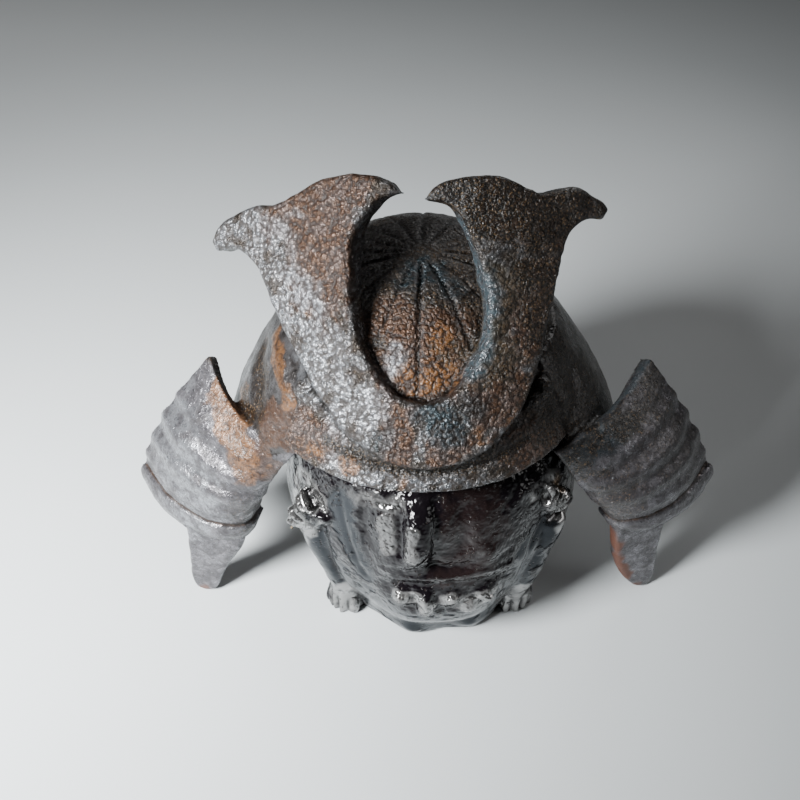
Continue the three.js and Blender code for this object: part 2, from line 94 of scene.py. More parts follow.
class Glaze:
    # one material and its nodes

    def __init__(self, name):
        self.material = bpy.data.materials.new(name)
        self.material.use_nodes = True
        self.tree = self.material.node_tree
        self.tree.nodes.clear()

    def node(self, kind, settings=None, inputs=None, output=0):
        made = self.tree.nodes.new(kind)
        for key, value in (settings or {}).items():
            setattr(made, key, value)
        for key, value in (inputs or {}).items():
            if isinstance(value, Wire):
                self.tree.links.new(value.socket, made.inputs[key])
            else:
                made.inputs[key].default_value = value
        return Wire(self, made.outputs[output]) if made.outputs else None

    def mix(self, share, a, b):
        a, b = [value if isinstance(value, Wire) else (*value, 1.0) for value in (a, b)]
        return self.node("ShaderNodeMix", {"data_type": "RGBA"}, {0: share, 6: a, 7: b}, 2)

    def mark(self, name):
        return self.node("ShaderNodeAttribute", {"attribute_name": name}, output=2)

    def noise(self, size, detail=2.0, roughness=0.5, distortion=0.0):
        # size is the width of a cloud in millimetres
        inputs = {
            "Vector": self.node("ShaderNodeTexCoord", output=3),
            "Scale": 1 / (size * mm),
            "Detail": detail,
            "Roughness": roughness,
            "Distortion": distortion,
        }
        return self.node("ShaderNodeTexNoise", {}, inputs)

    def dots(self, size, drift=0.0):
        # 0 at scattered middles, rising outwards, with the places bent by soft noise
        place = self.node("ShaderNodeTexCoord", output=3)
        soft = {"Vector": place, "Scale": 0.7 / (size * mm), "Detail": 2.0}
        bent = {0: self.node("ShaderNodeTexNoise", {}, soft, 1), 1: (drift * mm,) * 3, 2: place}
        inputs = {
            "Vector": self.node("ShaderNodeVectorMath", {"operation": "MULTIPLY_ADD"}, bent),
            "Scale": 1 / (size * mm),
        }
        return self.node("ShaderNodeTexVoronoi", {"feature": "F1"}, inputs)

    def close(self, surface, height, depth, fixed):
        bump = self.node("ShaderNodeBump", {}, {"Strength": 1.0, "Distance": depth * mm, "Height": height})
        shader = self.node("ShaderNodeBsdfPrincipled", {}, {**surface, "Normal": bump, **fixed})
        self.node("ShaderNodeOutputMaterial", {}, {"Surface": shader})
        return self.material


def cloud(points, size, seed):
    # smooth noise from 0 to 1, with clouds of the given size, at points in the same unit
    place = points / size + 13.7 * seed
    base = np.floor(place).astype(np.int64)
    share = place - base
    share = share * share * (3 - 2 * share)
    total = np.zeros(len(points))
    for corner in np.ndindex(2, 2, 2):
        x, y, z = (base + corner).T
        mixed = (x * 73856093) ^ (y * 19349663) ^ (z * 83492791) ^ (seed * 2654435761)
        mixed = (mixed ^ (mixed >> 13)) * 1274126177
        value = ((mixed ^ (mixed >> 16)) & 0xFFFF) / 0xFFFF
        total += value * np.prod(np.where(corner, share, 1 - share), axis=1)
    return total


def lumpy(points, lumps):
    # a sum of clouds, each with its size, its depth and its seed
    return sum(depth * (cloud(points, size, seed) - 0.5) for size, depth, seed in lumps)


def eased(values, low, high):
    # 0 below low, 1 above high, smooth between
    share = np.clip((values - low) / (high - low), 0, 1)
    return share * share * (3 - 2 * share)


def formed(mesh, *steps):
    # the mesh after these modifiers, each a kind and its settings
    thing = bpy.data.objects.new("forming", mesh)
    bpy.context.scene.collection.objects.link(thing)
    for kind, settings in steps:
        modifier = thing.modifiers.new(kind, kind)
        for key, value in settings.items():
            setattr(modifier, key, value)
    made = bpy.data.meshes.new_from_object(thing.evaluated_get(bpy.context.evaluated_depsgraph_get()))
    bpy.data.objects.remove(thing)
    return made


class Clay:
    # several nodes pressed into one fine skin, whose points are in millimetres

    def __init__(self, names, form):
        self.names = names
        lump = bmesh.new()
        corners, faces, owners = [], [], []
        for index, name in enumerate(names):
            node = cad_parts[name].data
            weld = ("WELD", {"merge_threshold": 0.01 * mm})
            kind = "SIMPLE" if name in form["crisp"] else "CATMULL_CLARK"
            rounding = ("SUBSURF", {"subdivision_type": kind, "levels": 2, "render_levels": 2})
            grow = ("DISPLACE", {"strength": form["grow"] * mm, "mid_level": 0.0})
            lump.from_mesh(formed(node.copy(), weld, rounding, grow))
            first = len(corners)
            corners += [point.co.copy() for point in node.vertices]
            faces += [[first + i for i in face.vertices] for face in node.polygons]
            owners += [index] * len(node.polygons)
        for x, y, z, reach in form["fills"]:
            place = Matrix.Translation(Vector((x, y, z)) * mm)
            bmesh.ops.create_icosphere(lump, subdivisions=3, radius=reach * mm, matrix=place)
        rough = bpy.data.meshes.new("rough")
        lump.to_mesh(rough)
        lump.free()
        remesh = ("REMESH", {"mode": "VOXEL", "voxel_size": form["voxel"] * mm})
        relax = ("SMOOTH", {"factor": 0.5, "iterations": form["relax"]})
        self.mesh = formed(rough, remesh, relax)
        self.edges = self.read(self.mesh.edges, "vertices", 2, int)
        self.quads = self.read(self.mesh.loops, "vertex_index", 1, int).reshape(-1, 4)
        self.measure()
        tree = BVHTree.FromPolygons(corners, faces)
        nearest = [owners[tree.find_nearest(point.co)[2]] for point in self.mesh.vertices]
        shares = np.eye(len(names))[nearest]
        self.owner = self.spread(shares, 8).argmax(axis=1)
        self.raiseBy(np.full(len(self.points), -form["shrink"]))
        print("pressed", ", ".join(names), len(self.quads), "quads")

    def read(self, items, key, width, kind=float):
        values = np.empty(len(items) * width, dtype=np.float32 if kind is float else np.int32)
        items.foreach_get(key, values)
        return values.reshape(-1, width).astype(kind)

    def measure(self):
        self.points = self.read(self.mesh.vertices, "co", 3) / mm
        self.normals = self.read(self.mesh.vertex_normals, "vector", 3)

    def spread(self, values, rounds):
        # each point takes the mean of itself and its neighbours, several times over
        ends = np.concatenate([self.edges[:, 0], self.edges[:, 1]])
        others = np.concatenate([self.edges[:, 1], self.edges[:, 0]])
        count = np.bincount(ends, minlength=len(values))[:, None] + 1
        for _ in range(rounds):
            columns = [np.bincount(ends, column[others], len(values)) for column in values.T]
            values = (values + np.stack(columns, axis=1)) / count
        return values

    def of(self, *names):
        return np.isin(self.owner, [self.names.index(name) for name in names])

    def raiseBy(self, amount):
        # moves the skin along its normals, in millimetres
        moved = self.points + self.normals * amount[:, None]
        low, high = np.array(cadBox) / mm
        moved = np.clip(moved, low + boxMargin, high - boxMargin)
        self.mesh.vertices.foreach_set("co", (moved * mm).astype(np.float32).ravel())
        self.mesh.update()
        self.measure()

    def wear(self):
        # marks for standing edges, painted paler partly where a glaze runs thin and partly as a painted
        # highlight, and for hollows, painted darker as painted shade
        around = self.spread(self.points, 4)
        proud = ((self.points - around) * self.normals).sum(axis=1)
        return {"wornAndHighlight": eased(proud, 0.12, 0.6), "hollow": eased(-proud, 0.08, 0.5)}

    def part(self, marks, finishes):
        # one piece for each node, with the normals of the whole skin so that no seam shows
        for index, name in enumerate(self.names):
            quads = self.quads[self.owner[self.quads[:, 0]] == index]
            used, local = np.unique(quads, return_inverse=True)
            mesh = bpy.data.meshes.new("glazed_" + name)
            mesh.from_pydata((self.points[used] * mm).tolist(), [], local.reshape(-1, 4).tolist())
            for mark, values in marks.items():
                attribute = mesh.attributes.new(mark, "FLOAT", "POINT")
                attribute.data.foreach_set("value", values[used].astype(np.float32))
            mesh.shade_smooth()
            mesh.normals_split_custom_set_from_vertices(self.normals[used].tolist())
            piece = bpy.data.objects.new("glazed_" + name, mesh)
            bpy.context.scene.collection.objects.link(piece)
            mesh.materials.append(finishes[name])
            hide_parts(name)
            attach(piece, "root")


def beside(points, path):
    # how far each point is from a line through these places
    away = np.full(len(points), 1000.0)
    for start, end in zip(path, path[1:] or path):
        run = np.subtract(end, start)
        share = np.clip((points - start) @ run / max(run @ run, 1), 0, 1)
        away = np.minimum(away, np.linalg.norm(points - start - share[:, None] * run, axis=1))
    return away


def modelled(points, strokes):
    # how far soft strokes of a given height and width raise each point
    lift = np.zeros(len(points))
    for height, width, *path in strokes:
        lift += height * np.exp(-((beside(points, path) / width) ** 2))
    return lift


def painted(points, kinds, patches, ragged):
    # marks from 0 to 1 for each kind of patch, with ragged edges
    marks = {kind: np.zeros(len(points)) for kind in kinds}
    for kind, reach, depth, *path in patches:
        share = depth * eased(1.0 - beside(points, path) / reach + ragged, -0.35, 0.45)
        marks[kind] = np.maximum(marks[kind], share)
    return marks


# helmet
helmetForm = {
    "grow": 1.2,
    "shrink": 1.0,
    "voxel": 1.1,
    "relax": 5,
    "crisp": ["crest", "visor", "left_wing", "right_wing"],
    "fills": [(-56, -48, 165, 7), (-51, -52, 160, 7), (54, -43, 164, 7), (50, -47, 160, 7)],
}
helmet = {
    "nodes": ["crown", "visor", "crest", "neck_guard", "left_wing", "right_wing", "left_leg", "right_leg"],
    "crownX": -4,
    "topWeight": 20,
    "ribs": 18,
    "fluteDepth": 1.1,
    "fluteWidth": 7.5,
    "fluteStart": (12, 40),
    "grooveDepth": 1.9,
    "grooveWidth": 0.9,
    "grooveStart": (4, 14),
    "lumps": [(15, 0.8, 3), (7, 0.5, 3), (3.6, 0.3, 3)],
    "crestLumps": [(9, 1.3, 4), (4, 0.6, 4)],
    "fray": [(9, 0.9, 5), (3.2, 0.8, 6)],
    "crownSoot": 0.85,
    "seamOchre": 0.8,
}
# degrees from the front towards +X, and strength
grooves = [(0, 1.0), (27, 0.8), (-22, 0.4), (50, 0.4), (-48, 0.3)]
grooves += [(degrees, 0.5) for degrees in range(80, 281, 20)]

# x of a wing's inner and outer edge at the top, with what it gains towards the rim,
# and z of its top and rim at the inner edge, with what it gains towards the outer edge
wings = {
    "left_wing": {"inner": (62, 30), "outer": (113, 47), "top": (129, 18), "rim": (56, 4)},
    "right_wing": {"inner": (63, 37), "outer": (114, 47), "top": (133, 16), "rim": (60, 7)},
}
ribbing = {
    "facing": 0.3,
    "ribs": 5,
    "depth": 1.5,
    "start": (0.1, 0.3),
    "end": (0.79, 0.84),
    "innerDepth": 0.15,
    "across": (0.05, 0.45),
    "band": 1.0,
    "bandRise": 0.03,
    "seam": 0.87,
    "seamWidth": 0.014,
    "seamDepth": 0.9,
}

# height and width of a stroke in the clay, and the places it passes
crease = [(-44, -67, 150), (-33, -75, 149), (-20, -80, 146), (-7, -82, 145), (12, -81, 145), (30, -74, 146)]
crease += [(48, -62, 150)]
helmetStrokes = [
    (-1.2, 1.5, *crease),
    (1.2, 5, (-74, -12, 169), (-71, -30, 164), (-66, -45, 156)),
    (-2.2, 6, (-84, -5, 156), (-83, -23, 149), (-84, -32, 140)),
    (-1.2, 6, (70, -22, 157), (74, -34, 146)),
]

# kind, reach and strength of a patch, and the places it passes
helmetPatches = [
    ("rust", 22, 0.9, (-59, -9, 242), (-44, -14, 250)),
    ("rust", 19, 0.8, (-50, -24, 226), (-50, -30, 214)),
    ("rust", 11, 0.6, (-44, -38, 208)),
    # pale on the left horn, which faces the lamp: silver glaze, plus a painted highlight
    ("pale", 20, 0.55, (-95, 4, 221), (-76, -8, 217)),
    ("pale", 17, 0.9, (-66, -30, 200), (-50, -48, 183), (-34, -66, 168)),
    ("rust", 8, 0.8, (-14, -76, 166), (-10, -81, 158)),
    ("blue", 9, 0.9, (4, -74, 173), (13, -78, 166)),
    ("rust", 8, 0.9, (7, -83, 158), (14, -80, 160)),
    ("blue", 6, 0.6, (-20, -78, 161)),
    ("ochre", 6, 0.7, (22, -77, 163)),
    ("rust", 13, 0.9, (30, -68, 174), (36, -62, 182)),
    ("blue", 6, 0.7, (21, -71, 175)),
    # these dark patches on the right horn: its own dark glaze, plus painted shade on the side turned from
    # the lamp
    ("dark", 24, 1.0, (17, -26, 253), (38, -18, 254), (52, -18, 240)),
    ("dark", 16, 0.9, (58, -25, 222), (48, -42, 204)),
    ("dark", 14, 0.6, (72, -4, 242), (90, 4, 238)),
    ("rust", 16, 0.8, (45, -38, 213), (42, -45, 200)),
    ("rust", 16, 0.5, (32, -23, 252), (60, -18, 232)),
    ("olive", 16, 0.9, (28, -44, 218), (24, -54, 198)),
    ("olive", 11, 0.8, (32, -54, 190)),
    # the right horn's inner edge face, lit from the left, painted bluish and pale: bluish glaze, plus a
    # painted highlight along its arris
    ("edge", 5.5, 1.0, (14, -25, 240), (21, -34, 227), (26, -43, 214), (25, -52, 198), (19, -59, 187)),
    ("ochre", 4, 0.7, (1, -22, 259), (9, -26, 247)),
    ("rust", 24, 1.0, (-2, -50, 188)),
    ("rust", 12, 0.9, (-18, -38, 198), (12, -42, 196)),
    ("ochre", 7, 0.8, (7, -45, 194)),
    ("ochre", 9, 0.8, (10, -56, 180), (-4, -58, 180)),
    ("blue", 12, 1.0, (-3, -16, 209)),
    ("blue", 8, 0.8, (9, -22, 206)),
    ("pale", 5, 1.0, (-14, -51, 190), (-15, -54, 186)),
    ("ochre", 6, 0.9, (-74, -12, 169), (-71, -30, 164), (-66, -45, 156)),
    # dark in the hollow beside the crest's lower left edge: painted shade
    ("dark", 8, 0.9, (-84, -5, 156), (-83, -23, 149), (-84, -32, 140)),
    ("pale", 7, 0.5, (-99, 15, 126), (-96, 0, 140)),
    ("rust", 13, 1.0, (-63, -58, 148), (-73, -48, 139)),
    # dark over the helmet's right side, turned from the lamp: painted shade
    ("dark", 44, 1.0, (64, -28, 160), (85, 10, 135), (80, 60, 120)),
    ("rust", 10, 0.6, (66, -45, 142)),
    ("rust", 12, 0.7, (-49, -67, 150), (-58, -58, 150)),
    ("ochre", 6, 0.9, (-34, -76, 145)),
    ("ochre", 5, 0.7, (-50, -67, 142)),
    ("ochre", 5, 0.6, (-10, -83, 141)),
    # the visor's rolled lip painted pale: silver glaze, plus a painted highlight
    ("pale", 6, 1.0, (-40, -74, 141), (-22, -83, 139), (0, -87, 138), (20, -84, 139)),
    # dark along the crease under the crest: painted shadow
    ("dark", 3.4, 1.0, *crease),
    ("rust", 14, 0.9, (44, -68, 148), (54, -58, 150)),
    ("dark", 10, 0.7, (36, -72, 146)),
    ("ochre", 7, 0.6, (58, -55, 146)),
    ("ochre", 12, 1.0, (-103, -20, 135), (-96, -34, 126), (-89, -44, 117)),
    ("rust", 11, 1.0, (-87, -46, 121), (-80, -48, 113)),
    ("ochre", 8, 0.7, (-91, -48, 106)),
    # black along the left wing's upper edge face, turned from the lamp: painted shade
    ("dark", 5.0, 1.0, (-116, 9, 148), (-108, -2, 143), (-100, -12, 138), (-92, -22, 133), (-80, -38, 130)),
    # pale on the left wing's outer face, turned to the lamp: silver glaze, plus a painted highlight
    ("pale", 24, 1.0, (-135, -20, 110), (-122, -34, 80)),
    # dark on the left wing's inner lower edge, turned from the lamp: painted shade
    ("dark", 11, 0.5, (-94, -46, 82), (-90, -44, 62)),
    ("blue", 12, 0.9, (80, -45, 130), (92, -36, 131)),
    ("olive", 8, 0.7, (97, -32, 132)),
    # dark on the right wing's outer face, turned from the lamp: painted shade
    ("dark", 20, 0.5, (122, -22, 118), (142, -10, 92)),
    ("dark", 15, 0.7, (100, -41, 96), (96, -40, 78)),
    # the right wing's upper edge face, lit from the left, painted bluish and pale: bluish glaze, plus a
    # painted highlight
    ("edge", 2.6, 0.9, (111, 0, 148), (103, -14, 144), (96, -21, 138), (86, -35, 134)),
    ("bare", 4.5, 1.0, (102, -30, 56), (106, -34, 40), (116, -30, 16)),
    ("bare", 5, 0.9, (124, -26, 1), (116, -30, 2)),
    ("bare", 6, 0.8, (-126, -34, 0)),
    ("ochre", 22, 0.6, (-40, 84, 150)),
    ("rust", 26, 0.7, (60, 70, 132)),
    ("rust", 24, 0.6, (-90, 40, 120)),
    ("ochre", 18, 0.5, (20, 100, 110)),
]


def fluted(body):
    # the lift of the crown's ribs and grooves, how far each point is in a groove, and the crown's outside
    away = body.points - [helmet["crownX"], 0, 0]
    radius = np.hypot(away[:, 0], away[:, 1])
    turn = np.arctan2(away[:, 0], -away[:, 1])
    facing = (body.normals[:, :2] * away[:, :2]).sum(axis=1) + body.normals[:, 2] * helmet["topWeight"]
    onCrown = body.of("crown") & (facing > 0)
    step = 2 * math.pi / helmet["ribs"]
    offFlute = radius * np.abs((turn + step / 2) % step - step / 2)
    flute = np.maximum(0, 1 - offFlute / helmet["fluteWidth"]) * eased(radius, *helmet["fluteStart"])
    groove = np.zeros(len(body.points))
    for degrees, strength in grooves:
        off = radius * np.abs((turn - math.radians(degrees) + math.pi) % (2 * math.pi) - math.pi)
        groove = np.maximum(groove, strength * np.exp(-((off / helmet["grooveWidth"]) ** 2)))
    groove *= eased(radius, *helmet["grooveStart"]) * onCrown
    return helmet["fluteDepth"] * flute * onCrown - helmet["grooveDepth"] * groove, groove, onCrown


def ribbed(body, name, wing):
    # the lift of a wing's ribs, seam and raised rim, and how far each point is in the seam
    side = np.abs(body.points[:, 0])
    height = body.points[:, 2]
    # down goes from 0 at the upper edge to 1 at the rim, and across from 0 to 1 at the outer edge
    down = (wing["top"][0] - height) / (wing["top"][0] - wing["rim"][0])
    for _ in range(3):
        inner = wing["inner"][0] + wing["inner"][1] * down
        outer = wing["outer"][0] + wing["outer"][1] * down
        across = np.clip((side - inner) / (outer - inner), 0, 1)
        top = wing["top"][0] + wing["top"][1] * across
        down = (top - height) / (top - wing["rim"][0] - wing["rim"][1] * across)
    here = body.of(name) & (body.normals[:, 1] < ribbing["facing"]) & (down > 0)
    wave = 0.5 - 0.5 * np.cos(2 * math.pi * ribbing["ribs"] * down / ribbing["end"][1])
    fade = eased(down, *ribbing["start"]) * (1 - eased(down, *ribbing["end"]))
    fade *= ribbing["innerDepth"] + (1 - ribbing["innerDepth"]) * eased(across, *ribbing["across"])
    seam = np.exp(-(((down - ribbing["seam"]) / ribbing["seamWidth"]) ** 2))
    band = eased(down, ribbing["seam"], ribbing["seam"] + ribbing["bandRise"])
    lift = ribbing["depth"] * wave * fade - ribbing["seamDepth"] * seam + ribbing["band"] * band
    return here * lift, here * seam


body = Clay(helmet["nodes"], helmetForm)
lift, groove, onCrown = fluted(body)
seamed = np.zeros(len(body.points))
for name, wing in wings.items():
    ribs, seam = ribbed(body, name, wing)
    lift += ribs
    seamed = np.maximum(seamed, seam)
lift += modelled(body.points, helmetStrokes)
lift += lumpy(body.points, helmet["lumps"])
lift += body.of("crest") * lumpy(body.points, helmet["crestLumps"])
body.raiseBy(lift)
print("helmet shaped")

kinds = ["rust", "ochre", "olive", "blue", "pale", "dark", "edge", "bare"]
marks = painted(body.points, kinds, helmetPatches, lumpy(body.points, helmet["fray"]))
marks.update(body.wear())
# the crown's grooves join the hollows and are painted darker as painted shade
marks["hollow"] = np.maximum(marks["hollow"], groove)
soot = helmet["crownSoot"] * onCrown * (1 - marks["rust"]) * (1 - marks["blue"])
marks["dark"] = np.maximum(marks["dark"], soot)
marks["ochre"] = np.maximum(marks["ochre"], helmet["seamOchre"] * seamed)


def stoneware(name, look):
    # a satin glaze that has crawled into small islands, silver on top and rusty in the cracks, with a
    # painted highlight on the tops and painted shade in the cracks
    shop = Glaze(name)
    island = 1 - shop.dots(look["grain"], look["drift"]).over(0.2, 0.85)
    ripple = shop.noise(look["ripple"], 3.0, 0.6, 1.5)
    fine = shop.noise(look["fine"], 2.0)
    middle = shop.noise(look["middle"], 3.0)
    broad = shop.noise(look["broad"], 3.0)
    groups = shop.noise(look["beadGroups"], 2.0).over(0.5, 0.62)
    beads = (1 - shop.dots(look["beadSize"]).over(0.10, 0.24)) * groups
    ridge = (look["islands"] * (island - 0.5) + 0.8 * ripple).over(0.19, 0.60)
    rust = (shop.mark("rust") + look["rust"] * broad).over(0.25, 0.85)
    valley = shop.mix(rust, look["shade"], look["rustDark"])
    silver = shop.mix(middle.over(0.4, 0.65), look["silverDark"], look["silver"])
    crest = shop.mix(rust * 0.7, silver, look["rustPale"])
    crest = shop.mix(shop.mark("pale") * middle.over(0.3, 0.6), crest, look["pale"])
    # ridges take the lighter colour and valleys the darker, here and in the ochre, olive, blue and
    # dark-patch mixes below: the glaze's own colours, plus a painted highlight on ridges and painted shade
    # in valleys
    colour = shop.mix(ridge * 0.85 + fine * 0.15, valley, crest)
    ochre = (shop.mark("ochre") - 0.4 * (1 - ripple)).over(0.05, 0.7)
    colour = shop.mix(ochre * 0.8, colour, shop.mix(ridge, look["ochreDark"], look["ochre"]))
    olive = shop.mix(ridge * 0.5 + middle * 0.5, look["oliveDark"], look["olive"])
    colour = shop.mix(shop.mark("olive") * 0.8, colour, olive)
    colour = shop.mix(shop.mark("blue") * 0.85, colour, shop.mix(ridge, look["dark"], look["blue"]))
    # the bright specks mixed into the dark patches are painted glints
    umberAndShade = shop.mix(fine.over(0.56, 0.68), shop.mix(ridge, look["dark"], look["umberAndShade"]), look["paintedGlint"])
    # where the dark patches lie: dark glaze on the crown, plus painted shade on faces turned from the lamp,
    # in hollows and along edges in shadow
    colour = shop.mix(shop.mark("dark") * 0.9, colour, umberAndShade)
    # hollows and grooves painted near black: painted shade
    colour = shop.mix(shop.mark("hollow") * 0.85, colour, look["dark"])
    # edge faces painted bluish and pale: bluish glaze, plus a painted highlight
    colour = shop.mix(shop.mark("edge") * 0.85, colour, shop.mix(ridge * 0.6, look["blue"], look["pale"]))
    # standing edges painted pale, partly as worn glaze and partly as a painted highlight; glaze beads pale
    # too
    colour = shop.mix(shop.mark("wornAndHighlight") * 0.3 + beads * look["beads"], colour, look["pale"])
    colour = shop.mix(shop.mark("bare"), colour, shop.mix(fine, look["bareDark"], look["bare"]))
    dull = shop.mark("bare") + 0.5 * ochre + 0.35 * rust + 0.9 * shop.mark("dark") + 0.6 * shop.mark("olive")
    dull = dull * (1 - shop.mark("edge"))
    surface = {
        "Base Color": colour,
        "Roughness": 0.42 - 0.14 * ridge - 0.06 * middle + 0.3 * shop.mark("bare"),
        "Metallic": (0.75 * ridge + 0.1) * (1 - dull.over(0.0, 0.9)),
    }
    height = island * look["islands"] + ripple * 0.8 + fine * 0.15 + beads * look["beads"]
    height = height * (1 - 0.7 * shop.mark("bare") - 0.35 * shop.mark("pale"))
    return shop.close(surface, height * look["relief"], look["depth"], {"IOR": 1.45})


# sizes are in millimetres
stone = {
    "grain": 2.1,
    "drift": 2.4,
    "ripple": 1.89,
    "fine": 0.9,
    "middle": 7,
    "broad": 26,
    "beadSize": 3.1,
    "beadGroups": 9,
    "islands": 0.5,
    "beads": 0.0,
    "relief": 1.0,
    "depth": 1.0,
    "rust": 0.5,
    "shade": (0.015, 0.010, 0.007),
    "silver": (0.20, 0.202, 0.210),
    "silverDark": (0.054, 0.044, 0.036),
    "pale": (0.27, 0.28, 0.30),
    "rustDark": (0.009, 0.003, 0.001),
    "rustPale": (0.105, 0.052, 0.029),
    "ochre": (0.175, 0.078, 0.027),
    "ochreDark": (0.020, 0.008, 0.003),
    "olive": (0.055, 0.043, 0.025),
    "oliveDark": (0.006, 0.005, 0.003),
    "blue": (0.036, 0.056, 0.068),
    "dark": (0.003, 0.0025, 0.002),
    "umberAndShade": (0.009, 0.0055, 0.0035),
    # colour of the painted glints on dark glaze
    "paintedGlint": (0.11, 0.070, 0.036),
    "bare": (0.13, 0.058, 0.038),
    "bareDark": (0.060, 0.020, 0.011),
}
smooth = {
    **stone,
    "grain": 3.0,
    "ripple": 2.7,
    "islands": 0.15,
    "beads": 0.5,
    "relief": 0.6,
    "rust": 0.1,
    "shade": (0.024, 0.021, 0.022),
    "silver": (0.21, 0.203, 0.22),
    "silverDark": (0.105, 0.100, 0.108),
}
dusky = {
    **smooth,
    "beads": 0.2,
    "rust": 0.3,
    "shade": (0.014, 0.011, 0.010),
    "silver": (0.120, 0.115, 0.118),
    "silverDark": (0.038, 0.034, 0.033),
}
scorched = {**stone, "silver": (0.110, 0.095, 0.085), "silverDark": (0.028, 0.019, 0.013)}
looks = {"crown": scorched, "visor": stone, "crest": stone, "neck_guard": dusky}
finish = {name: stoneware("glaze_" + name, looks.get(name, smooth)) for name in helmet["nodes"]}
body.part(marks, finish)
print("helmet glazed")

# pot
potForm = {"grow": 0.5, "shrink": 0.3, "voxel": 1.42, "relax": 3, "crisp": [], "fills": []}
pot = {
    "nodes": ["pot_body", "pot_left_limb", "pot_right_limb", "pot_left_fan", "pot_right_fan"],
    "lumps": [(20, 0.8, 11), (8, 0.6, 11)],
    "knobs": [(4, 2.2, 12)],
    "fray": [(9, 0.9, 15), (3.2, 0.8, 16)],
    "pleatDepth": 1.2,
    "pleatStart": (2, 10),
    "fanSpread": 100,
    "toes": 9,
    "toeTop": (6.6, 22),
    "flare": 1.6,
    "sole": 0.5,
}
# where pleats spread from: the hub of each fan, and the middle of each foot
fans = {
    "pot_left_fan": {"hub": (-50, -64, 90), "pleats": 6},
    "pot_right_fan": {"hub": (62, -60, 97), "pleats": 5},
}
feet = {"pot_left_limb": (-46, -41), "pot_right_limb": (52, -37)}
# height and width of a stroke in the clay, and the places it passes
potStrokes = [
    (1.4, 4, (-5, -84, 115), (-5, -87, 92)),
    (-2.4, 3.2, (6, -78, 121), (6, -84, 103), (6, -83, 83)),
    (-1.4, 2.6, (-11, -79, 116), (-11, -83, 90)),
    (1.6, 5, (-19, -77, 108), (-18, -79, 92)),
    (-1.3, 3.5, (-28, -71, 114), (-28, -74, 88), (-25, -76, 72)),
    (1.3, 6, (30, -75, 108), (29, -78, 92)),
    (-1.1, 4, (19, -76, 115), (19, -79, 90)),
    (1.2, 1.8, (-15, -81, 72), (-1, -84, 74), (16, -82, 74), (31, -79, 76), (45, -71, 72)),
    (-1.1, 2.2, (-19, -80, 78), (-1, -86, 82), (14, -80, 79), (30, -77, 83), (44, -70, 82)),
    (-1.4, 2.4, (-13, -79, 64), (16, -81, 67), (42, -70, 63)),
    (4.0, 4.0, (-11, -80, 54)),
    (4.6, 3.6, (2, -82, 57), (2, -81, 47)),
    (4.2, 4.0, (15, -80, 55)),
    (3.0, 3.8, (24, -78, 47)),
    (4.0, 4.0, (33, -75, 52)),
    (-1.6, 2.6, (-4, -80, 48)),
    (-1.6, 2.6, (9, -80, 46)),
    (1.5, 2.5, (-4, -80, 62)),
    (1.8, 5, (-6, -63, 8)),
    (1.8, 5, (27, -60, 9)),
    (-1.1, 1.8, (-53, -64, 93), (-50, -62, 70), (-44, -56, 38)),
    (-1.1, 1.8, (60, -57, 90), (55, -63, 73), (48, -58, 39)),
    (-0.9, 1.8, (-41, -66, 109), (-37, -70, 85), (-30, -73, 62)),
]
# kind, reach and strength of a patch, and the places it passes
potPatches = [
    # black band under the visor: black glaze, plus painted shade under the visor
    ("black", 13, 1.0, (-62, -38, 124), (-36, -64, 131), (0, -74, 132), (36, -66, 131), (62, -38, 124)),
    # black in the carved grooves and right of the nose ridge: painted shade
    ("black", 3, 0.9, (-11, -79, 114), (-11, -83, 92)),
    ("black", 4, 0.8, (-28, -71, 112), (-28, -74, 88), (-24, -77, 72)),
    ("black", 7, 1.0, (8, -80, 118), (8, -84, 103), (8, -83, 84)),
    ("mirror", 6, 0.9, (-31, -69, 117), (-14, -77, 118)),
    ("mirror", 6, 0.8, (-18, -78, 108), (-17, -79, 92)),
    ("mirror", 4, 0.9, (-5, -86, 108), (-5, -87, 90)),
    ("knobs", 6, 1.0, (-11, -80, 54), (2, -81, 52)),
    ("knobs", 6, 1.0, (15, -80, 55), (24, -78, 50), (33, -75, 51)),
    ("pleats", 14, 1.0, (-62, -54, 98), (-70, -46, 70)),
    ("pleats", 14, 1.0, (66, -54, 106), (75, -43, 92)),
    ("pleats", 12, 1.0, (-44, -48, 6), (-44, -53, 20)),
    ("pleats", 12, 1.0, (53, -47, 8), (52, -54, 24)),
    ("ochre", 5, 1.0, (-73, -42, 62)),
    ("ochre", 4, 0.7, (68, -50, 110)),
    ("ochre", 2.5, 0.6, (2, -85, 50)),
    ("purple", 18, 1.0, (28, -76, 110), (27, -78, 92), (20, -80, 80)),
    ("slate", 11, 1.0, (-63, -54, 96), (-54, -59, 69), (-46, -57, 42)),
    ("slate", 11, 1.0, (62, -57, 87), (55, -61, 70), (48, -58, 39)),
    ("slate", 8, 0.8, (-41, -66, 109), (-37, -70, 85), (-30, -74, 64)),
    ("slate", 24, 1.0, (-30, -60, 24), (0, -68, 22), (36, -62, 24)),
]


def pleated(base):
    # the lift of the fans' pleats and of the feet with their toes
    lift = np.zeros(len(base.points))
    for name, fan in fans.items():
        spoke = base.points - fan["hub"]
        rise = np.arctan2(spoke[:, 2], np.hypot(spoke[:, 0], spoke[:, 1]))
        reach = eased(np.linalg.norm(spoke, axis=1), *pot["pleatStart"])
        pleat = np.cos(rise * 2 * math.pi * fan["pleats"] / math.radians(pot["fanSpread"]))
        lift += base.of(name) * reach * pot["pleatDepth"] * pleat
    for name, (x, y) in feet.items():
        around = np.arctan2(base.points[:, 1] - y, base.points[:, 0] - x)
        low = 1 - eased(base.points[:, 2], *pot["toeTop"])
        toes = pot["flare"] + pot["pleatDepth"] * np.cos(around * pot["toes"])
        lift += base.of(name) * low * toes
    return lift


